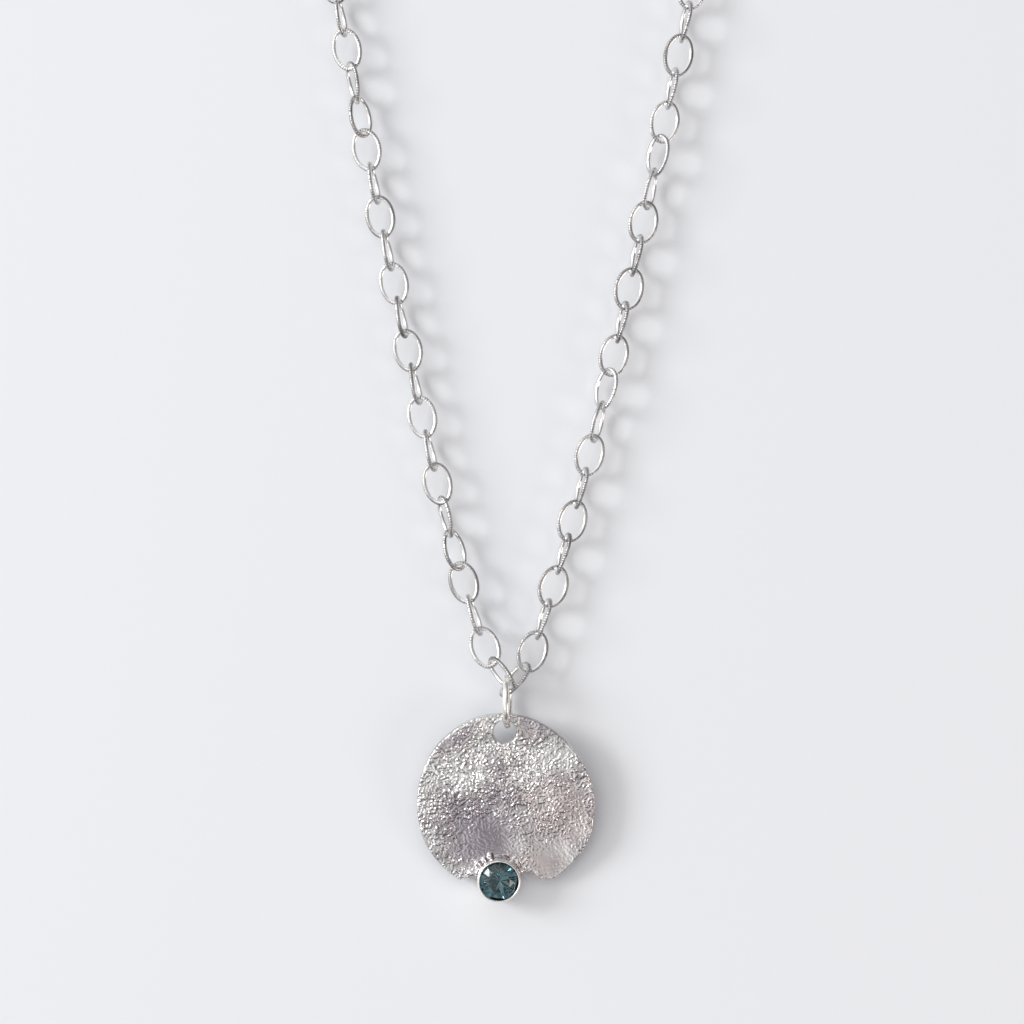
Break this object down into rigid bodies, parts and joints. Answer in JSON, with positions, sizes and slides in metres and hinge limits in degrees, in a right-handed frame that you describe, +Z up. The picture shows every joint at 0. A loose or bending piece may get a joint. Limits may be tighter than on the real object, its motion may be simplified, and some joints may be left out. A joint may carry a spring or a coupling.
{
  "type": "pendant necklace",
  "caption": "Chain necklace of oval cable links with a textured disc pendant, a bezel-set round stone at its lower edge, and a trigger clasp that lies open.",
  "frame": {"origin": "middle of the bounding box at the surface the necklace lies on", "axes": "+Y from the pendant to the clasp, +Z up from the surface, +X to the right as seen from above"},
  "size_m": [0.0654, 0.199, 0.0059],
  "materials": {
    "chain": "polished sterling silver with fine milled grooves",
    "disc": "reticulated sterling silver, crinkled and lightly burnished",
    "bezel": "bright burnished silver",
    "ring": "polished sterling silver wire",
    "clasp": "polished sterling silver",
    "spring_steel": "drawn spring wire",
    "stone": "faceted, dark teal"
  },
  "bodies": {
    "jump_ring": {"jump_ring": "ring"},
    "pendant": {"pendant_disc": "disc", "bezel_cup": "bezel", "stone": "stone"},
    "left_link_00": {"left_link_00": "chain"},
    "left_link_01": {"left_link_01": "chain"},
    "left_link_02": {"left_link_02": "chain"},
    "left_link_03": {"left_link_03": "chain"},
    "left_link_04": {"left_link_04": "chain"},
    "left_link_05": {"left_link_05": "chain"},
    "left_link_06": {"left_link_06": "chain"},
    "left_link_07": {"left_link_07": "chain"},
    "left_link_08": {"left_link_08": "chain"},
    "left_link_09": {"left_link_09": "chain"},
    "left_link_10": {"left_link_10": "chain"},
    "left_link_11": {"left_link_11": "chain"},
    "left_link_12": {"left_link_12": "chain"},
    "left_link_13": {"left_link_13": "chain"},
    "left_link_14": {"left_link_14": "chain"},
    "left_link_15": {"left_link_15": "chain"},
    "left_link_16": {"left_link_16": "chain"},
    "left_link_17": {"left_link_17": "chain"},
    "left_link_18": {"left_link_18": "chain"},
    "left_link_19": {"left_link_19": "chain"},
    "rear_left_1": {"rear_left_1": "chain"},
    "rear_left_2": {"rear_left_2": "chain"},
    "rear_left_3": {"rear_left_3": "chain"},
    "rear_left_4": {"rear_left_4": "chain"},
    "clasp_ring": {"clasp_ring": "clasp"},
    "clasp": {"clasp_body": "clasp", "clasp_pin": "clasp", "clasp_spring": "spring_steel"},
    "clasp_lever": {"clasp_lever": "clasp"},
    "right_link_00": {"right_link_00": "chain"},
    "right_link_01": {"right_link_01": "chain"},
    "right_link_02": {"right_link_02": "chain"},
    "right_link_03": {"right_link_03": "chain"},
    "right_link_04": {"right_link_04": "chain"},
    "right_link_05": {"right_link_05": "chain"},
    "right_link_06": {"right_link_06": "chain"},
    "right_link_07": {"right_link_07": "chain"},
    "right_link_08": {"right_link_08": "chain"},
    "right_link_09": {"right_link_09": "chain"},
    "right_link_10": {"right_link_10": "chain"},
    "right_link_11": {"right_link_11": "chain"},
    "right_link_12": {"right_link_12": "chain"},
    "right_link_13": {"right_link_13": "chain"},
    "right_link_14": {"right_link_14": "chain"},
    "right_link_15": {"right_link_15": "chain"},
    "right_link_16": {"right_link_16": "chain"},
    "right_link_17": {"right_link_17": "chain"},
    "right_link_18": {"right_link_18": "chain"},
    "right_link_19": {"right_link_19": "chain"},
    "rear_right_1": {"rear_right_1": "chain"},
    "rear_right_2": {"rear_right_2": "chain"},
    "rear_right_3": {"rear_right_3": "chain"},
    "rear_right_4": {"rear_right_4": "chain"},
    "catch_ring": {"catch_ring": "clasp"}
  },
  "joints": [
    {"name": "pendant_swing", "type": "hinge", "parent": "jump_ring", "child": "pendant", "pos_m": [-0.00017, -0.07928, 0.00316], "axis": [0.9976, 0, 0.0698], "range_deg": [-75, 75]},
    {"name": "left_link_00_swing", "type": "hinge", "parent": "jump_ring", "child": "left_link_00", "pos_m": [-0.00069, -0.07722, 0.00348], "axis": [-0.6025, -0.2912, 0.7431], "range_deg": [-40, 40]},
    {"name": "left_link_01_swing", "type": "hinge", "parent": "left_link_00", "child": "left_link_01", "pos_m": [-0.00183, -0.0756, 0.00229], "axis": [0.6633, 0.2349, -0.7106], "range_deg": [-20, 35]},
    {"name": "left_link_02_swing", "type": "hinge", "parent": "left_link_01", "child": "left_link_02", "pos_m": [-0.00295, -0.07236, 0.00218], "axis": [-0.672, -0.22, 0.7071], "range_deg": [-10, 45]},
    {"name": "left_link_03_swing", "type": "hinge", "parent": "left_link_02", "child": "left_link_03", "pos_m": [-0.00401, -0.06912, 0.0019], "axis": [0.6771, 0.2038, 0.7071], "range_deg": [-30, 35]},
    {"name": "left_link_04_swing", "type": "hinge", "parent": "left_link_03", "child": "left_link_04", "pos_m": [-0.0051, -0.06559, 0.0019], "axis": [-0.7165, -0.197, -0.6691], "range_deg": [-20, 15]},
    {"name": "left_link_05_swing", "type": "hinge", "parent": "left_link_04", "child": "left_link_05", "pos_m": [-0.006, -0.0623, 0.0019], "axis": [-0.9228, -0.2301, 0.309], "range_deg": [-20, 15]},
    {"name": "left_link_06_swing", "type": "hinge", "parent": "left_link_05", "child": "left_link_06", "pos_m": [-0.00668, -0.05954, 0.0019], "axis": [-0.9228, -0.2301, 0.309], "range_deg": [-15, 20]},
    {"name": "left_link_07_swing", "type": "hinge", "parent": "left_link_06", "child": "left_link_07", "pos_m": [-0.00753, -0.05594, 0.0019], "axis": [0.689, 0.1591, 0.7071], "range_deg": [-30, 30]},
    {"name": "left_link_08_swing", "type": "hinge", "parent": "left_link_07", "child": "left_link_08", "pos_m": [-0.0083, -0.05262, 0.0019], "axis": [-0.6903, -0.153, -0.7071], "range_deg": [-30, 30]},
    {"name": "left_link_09_swing", "type": "hinge", "parent": "left_link_08", "child": "left_link_09", "pos_m": [-0.00904, -0.04929, 0.0019], "axis": [0.6917, 0.147, -0.7071], "range_deg": [-30, 30]},
    {"name": "left_link_10_swing", "type": "hinge", "parent": "left_link_09", "child": "left_link_10", "pos_m": [-0.00975, -0.04596, 0.0019], "axis": [-0.6919, -0.1458, 0.7071], "range_deg": [-30, 30]},
    {"name": "left_link_11_swing", "type": "hinge", "parent": "left_link_10", "child": "left_link_11", "pos_m": [-0.01046, -0.04262, 0.0019], "axis": [0.6922, 0.1446, 0.7071], "range_deg": [-30, 30]},
    {"name": "left_link_12_swing", "type": "hinge", "parent": "left_link_11", "child": "left_link_12", "pos_m": [-0.01115, -0.03928, 0.0019], "axis": [-0.6924, -0.1434, -0.7071], "range_deg": [-30, 30]},
    {"name": "left_link_13_swing", "type": "hinge", "parent": "left_link_12", "child": "left_link_13", "pos_m": [-0.01185, -0.03594, 0.0019], "axis": [0.6927, 0.1422, -0.7071], "range_deg": [-30, 30]},
    {"name": "left_link_14_swing", "type": "hinge", "parent": "left_link_13", "child": "left_link_14", "pos_m": [-0.01253, -0.0326, 0.0019], "axis": [-0.6929, -0.141, 0.7071], "range_deg": [-30, 30]},
    {"name": "left_link_15_swing", "type": "hinge", "parent": "left_link_14", "child": "left_link_15", "pos_m": [-0.01321, -0.02926, 0.0019], "axis": [0.6932, 0.1398, 0.7071], "range_deg": [-30, 30]},
    {"name": "left_link_16_swing", "type": "hinge", "parent": "left_link_15", "child": "left_link_16", "pos_m": [-0.01389, -0.02592, 0.0019], "axis": [-0.6934, -0.1386, -0.7071], "range_deg": [-30, 30]},
    {"name": "left_link_17_swing", "type": "hinge", "parent": "left_link_16", "child": "left_link_17", "pos_m": [-0.01461, -0.0223, 0.0019], "axis": [-0.729, -0.1443, -0.6691], "range_deg": [-20, 15]},
    {"name": "left_link_18_swing", "type": "hinge", "parent": "left_link_17", "child": "left_link_18", "pos_m": [-0.01527, -0.01895, 0.0019], "axis": [-0.9333, -0.1831, 0.309], "range_deg": [-20, 20]},
    {"name": "left_link_19_swing", "type": "hinge", "parent": "left_link_18", "child": "left_link_19", "pos_m": [-0.01582, -0.01616, 0.0019], "axis": [-0.9333, -0.1831, 0.309], "range_deg": [-15, 20]},
    {"name": "rear_left_1_swing", "type": "hinge", "parent": "left_link_19", "child": "rear_left_1", "pos_m": [-0.01652, -0.01254, 0.0019], "axis": [-0.6943, -0.1337, -0.7071], "range_deg": [-30, 30]},
    {"name": "rear_left_2_swing", "type": "hinge", "parent": "rear_left_1", "child": "rear_left_2", "pos_m": [-0.02389, 0.02771, 0.0019], "axis": [0.6969, 0.1197, -0.7071], "range_deg": [-40, 40]},
    {"name": "rear_left_3_swing", "type": "hinge", "parent": "rear_left_2", "child": "rear_left_3", "pos_m": [-0.03045, 0.0681, 0.0019], "axis": [-0.6992, -0.1057, 0.7071], "range_deg": [-40, 40]},
    {"name": "rear_left_4_swing", "type": "hinge", "parent": "rear_left_3", "child": "rear_left_4", "pos_m": [-0.02761, 0.08768, 0.0019], "axis": [0.5357, -0.4616, 0.7071], "range_deg": [-25, 45]},
    {"name": "clasp_ring_swing", "type": "hinge", "parent": "rear_left_4", "child": "clasp_ring", "pos_m": [-0.0099, 0.09596, 0.0019], "axis": [0, 0.7071, -0.7071], "range_deg": [-40, 40]},
    {"name": "clasp_swing", "type": "hinge", "parent": "clasp_ring", "child": "clasp", "pos_m": [-0.00741, 0.09596, 0.0019], "axis": [0, -0.7071, -0.7071], "range_deg": [-35, 35]},
    {"name": "clasp_lever_pivot", "type": "hinge", "parent": "clasp", "child": "clasp_lever", "pos_m": [-0.0035, 0.09756, 0.0019], "axis": [0, 0, -1], "range_deg": [0, 30], "stiffness_Nm_per_rad": 0.003, "springref_deg": -17.19},
    {"name": "right_link_00_swing", "type": "hinge", "parent": "jump_ring", "child": "right_link_00", "pos_m": [0.00017, -0.07802, 0.00146], "axis": [0.6369, -0.4876, -0.5971], "range_deg": [-40, 40]},
    {"name": "right_link_01_swing", "type": "hinge", "parent": "right_link_00", "child": "right_link_01", "pos_m": [0.0018, -0.07599, 0.00196], "axis": [0.6706, -0.2244, 0.7071], "range_deg": [-30, 30]},
    {"name": "right_link_02_swing", "type": "hinge", "parent": "right_link_01", "child": "right_link_02", "pos_m": [0.00287, -0.07276, 0.00192], "axis": [-0.6736, 0.2152, -0.7071], "range_deg": [-25, 35]},
    {"name": "right_link_03_swing", "type": "hinge", "parent": "right_link_02", "child": "right_link_03", "pos_m": [0.00391, -0.06951, 0.0019], "axis": [0.6764, -0.206, -0.7071], "range_deg": [-30, 30]},
    {"name": "right_link_04_swing", "type": "hinge", "parent": "right_link_03", "child": "right_link_04", "pos_m": [0.0049, -0.06625, 0.0019], "axis": [-0.6792, 0.1968, 0.7071], "range_deg": [-30, 30]},
    {"name": "right_link_05_swing", "type": "hinge", "parent": "right_link_04", "child": "right_link_05", "pos_m": [0.00585, -0.06297, 0.0019], "axis": [0.6818, -0.1875, 0.7071], "range_deg": [-35, 30]},
    {"name": "right_link_06_swing", "type": "hinge", "parent": "right_link_05", "child": "right_link_06", "pos_m": [0.00676, -0.05968, 0.0019], "axis": [-0.6843, 0.1782, -0.7071], "range_deg": [-30, 35]},
    {"name": "right_link_07_swing", "type": "hinge", "parent": "right_link_06", "child": "right_link_07", "pos_m": [0.00762, -0.05638, 0.0019], "axis": [0.6854, -0.1739, -0.7071], "range_deg": [-30, 30]},
    {"name": "right_link_08_swing", "type": "hinge", "parent": "right_link_07", "child": "right_link_08", "pos_m": [0.00854, -0.0528, 0.0019], "axis": [-0.9233, 0.2279, -0.309], "range_deg": [-15, 20]},
    {"name": "right_link_09_swing", "type": "hinge", "parent": "right_link_08", "child": "right_link_09", "pos_m": [0.00935, -0.04949, 0.0019], "axis": [-0.7226, 0.1735, 0.6691], "range_deg": [-20, 15]},
    {"name": "right_link_10_swing", "type": "hinge", "parent": "right_link_09", "child": "right_link_10", "pos_m": [0.01001, -0.04673, 0.0019], "axis": [-0.7226, 0.1735, 0.6691], "range_deg": [-20, 15]},
    {"name": "right_link_11_swing", "type": "hinge", "parent": "right_link_10", "child": "right_link_11", "pos_m": [0.01085, -0.04313, 0.0019], "axis": [0.6896, -0.1563, -0.7071], "range_deg": [-30, 30]},
    {"name": "right_link_12_swing", "type": "hinge", "parent": "right_link_11", "child": "right_link_12", "pos_m": [0.0116, -0.03981, 0.0019], "axis": [-0.6906, 0.1518, 0.7071], "range_deg": [-30, 30]},
    {"name": "right_link_13_swing", "type": "hinge", "parent": "right_link_12", "child": "right_link_13", "pos_m": [0.01234, -0.03648, 0.0019], "axis": [0.6909, -0.1503, 0.7071], "range_deg": [-30, 30]},
    {"name": "right_link_14_swing", "type": "hinge", "parent": "right_link_13", "child": "right_link_14", "pos_m": [0.01306, -0.03314, 0.0019], "axis": [-0.6913, 0.1488, -0.7071], "range_deg": [-30, 30]},
    {"name": "right_link_15_swing", "type": "hinge", "parent": "right_link_14", "child": "right_link_15", "pos_m": [0.01384, -0.02953, 0.0019], "axis": [0.9302, -0.1981, 0.309], "range_deg": [-20, 15]},
    {"name": "right_link_16_swing", "type": "hinge", "parent": "right_link_15", "child": "right_link_16", "pos_m": [0.01455, -0.0262, 0.0019], "axis": [0.7272, -0.1532, -0.6691], "range_deg": [-20, 20]},
    {"name": "right_link_17_swing", "type": "hinge", "parent": "right_link_16", "child": "right_link_17", "pos_m": [0.01514, -0.02342, 0.0019], "axis": [0.7272, -0.1532, -0.6691], "range_deg": [-15, 20]},
    {"name": "right_link_18_swing", "type": "hinge", "parent": "right_link_17", "child": "right_link_18", "pos_m": [0.01589, -0.0198, 0.0019], "axis": [-0.6925, 0.1428, -0.7071], "range_deg": [-30, 30]},
    {"name": "right_link_19_swing", "type": "hinge", "parent": "right_link_18", "child": "right_link_19", "pos_m": [0.01658, -0.01646, 0.0019], "axis": [0.6928, -0.1413, -0.7071], "range_deg": [-30, 30]},
    {"name": "rear_right_1_swing", "type": "hinge", "parent": "right_link_19", "child": "rear_right_1", "pos_m": [0.01726, -0.01312, 0.0019], "axis": [-0.6932, 0.1398, 0.7071], "range_deg": [-30, 30]},
    {"name": "rear_right_2_swing", "type": "hinge", "parent": "rear_right_1", "child": "rear_right_2", "pos_m": [0.02464, 0.02713, 0.0019], "axis": [0.698, -0.113, 0.7071], "range_deg": [-40, 40]},
    {"name": "rear_right_3_swing", "type": "hinge", "parent": "rear_right_2", "child": "rear_right_3", "pos_m": [0.03046, 0.06763, 0.0019], "axis": [-0.7019, 0.086, -0.7071], "range_deg": [-40, 40]},
    {"name": "rear_right_4_swing", "type": "hinge", "parent": "rear_right_3", "child": "rear_right_4", "pos_m": [0.02714, 0.08715, 0.0019], "axis": [0.5288, 0.4695, -0.7071], "range_deg": [-25, 45]},
    {"name": "catch_ring_swing", "type": "hinge", "parent": "rear_right_4", "child": "catch_ring", "pos_m": [0.0094, 0.09531, 0.0019], "axis": [0, -0.7071, 0.7071], "range_deg": [-20, 20]}
  ]
}
